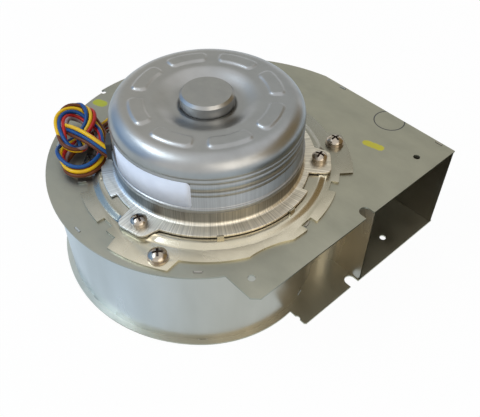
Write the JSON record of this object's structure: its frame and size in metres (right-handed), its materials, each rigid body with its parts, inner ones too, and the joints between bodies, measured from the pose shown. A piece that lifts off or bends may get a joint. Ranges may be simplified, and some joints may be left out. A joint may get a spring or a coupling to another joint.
{
  "type": "centrifugal blower",
  "caption": "Single-inlet centrifugal blower: sheet-metal scroll casing with a forward-curved wheel, turned by a flanged brushless DC motor with loose leads.",
  "frame": {"origin": "on the fan axis, in the middle of the round hole of the inlet side plate, level with the outer face of that plate", "axes": "+Z along the fan axis towards the motor, +X the way the air leaves the outlet, +Y towards the casing's straight back wall"},
  "size_m": [0.1538, 0.1633, 0.0894],
  "materials": {
    "zinc_sheet": "satin galvanised sheet",
    "zinc_pressing": "satin zinc-plated pressing",
    "can_steel": "smooth zinc-plated drawn shell",
    "screw_steel": "bright zinc-plated",
    "bearing_steel": "ground steel",
    "spring_steel": "spring steel",
    "lamination_steel": "stacked laminations",
    "gasket_rubber": "matt",
    "insulator_plastic": "moulded",
    "copper_winding": "enamelled copper",
    "board_laminate": "solder-masked laminate",
    "component_plastic": "moulded",
    "ferrite": "sintered",
    "hub_alloy": "turned",
    "wheel_sheet": "galvanised sheet",
    "black_rubber": "satin",
    "lead_insulation": "coloured wire insulation",
    "connector_plastic": "moulded"
  },
  "bodies": {
    "housing": {"motor_side_plate": "zinc_sheet", "inlet_side_plate": "zinc_sheet", "inlet_ring": "zinc_sheet", "scroll_wall": "zinc_sheet", "mounting_ring": "zinc_pressing", "ring_screws": "screw_steel", "motor_gasket": "gasket_rubber", "motor_bracket": "zinc_pressing", "ear_screws": "screw_steel", "motor_can": "can_steel", "bearing_cap": "can_steel", "wave_washer": "spring_steel", "upper_bearing": "bearing_steel", "lower_bearing": "bearing_steel", "stator_core": "lamination_steel", "end_insulator": "insulator_plastic", "stator_coils": "copper_winding", "circuit_board": "board_laminate", "board_parts": "component_plastic", "lead_grommet": "black_rubber", "lead_loop": "lead_insulation", "lead_coil": "lead_insulation", "lead_tail": "lead_insulation", "lead_connector": "connector_plastic"},
    "rotor": {"rotor_core": "lamination_steel", "rotor_magnet": "ferrite", "motor_shaft": "bearing_steel", "shaft_spacers": "bearing_steel", "impeller_hub": "hub_alloy", "hub_rivets": "screw_steel", "impeller_plate": "wheel_sheet", "impeller_blades": "wheel_sheet", "impeller_end_ring": "wheel_sheet", "hub_washer": "screw_steel", "hub_nut": "screw_steel"}
  },
  "joints": [
    {"name": "rotor_spin", "type": "hinge", "parent": "housing", "child": "rotor", "pos_m": [0, 0, 0.05], "axis": [0, 0, 1], "continuous": true}
  ]
}
